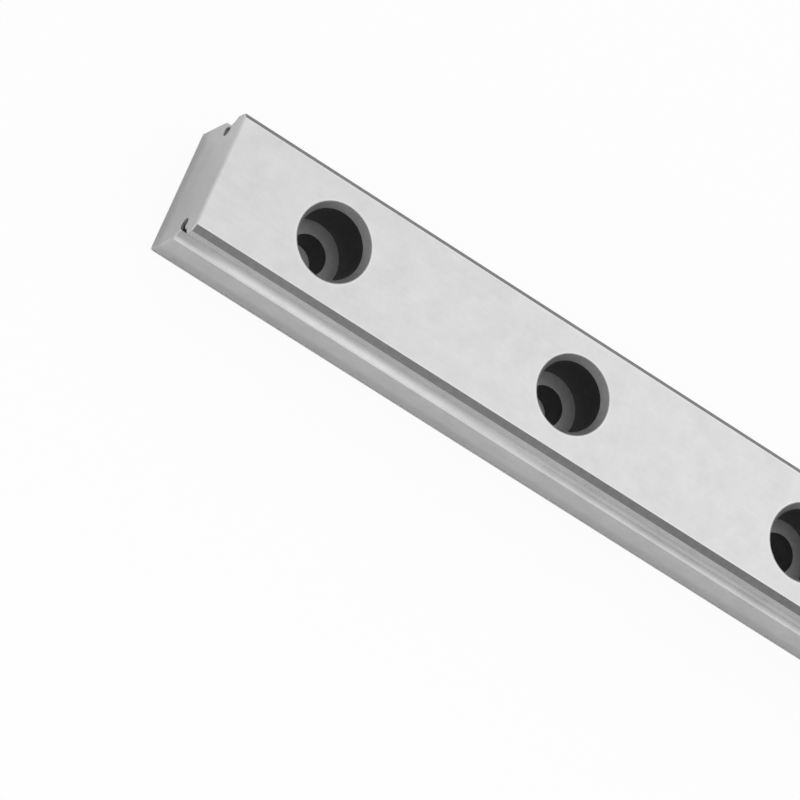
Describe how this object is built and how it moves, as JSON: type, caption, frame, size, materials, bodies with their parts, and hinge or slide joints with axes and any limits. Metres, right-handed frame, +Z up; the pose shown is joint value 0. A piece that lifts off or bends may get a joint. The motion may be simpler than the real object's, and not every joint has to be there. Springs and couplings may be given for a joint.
{
  "type": "miniature linear guide rail",
  "caption": "Miniature linear guide rail: a ground steel bar with a ball raceway along each side and a row of counterbored screw holes on top.",
  "frame": {"origin": "middle of the base face, halfway along the rail and across it", "axes": "+X along the rail, towards the end with the longer margin past its last hole, +Y across it, +Z up out of the base towards the top face with the counterbores"},
  "size_m": [0.15, 0.007, 0.0048],
  "materials": {
    "rail_steel": "fine ground"
  },
  "bodies": {
    "root": {"guide_rail": "rail_steel"}
  },
  "joints": []
}
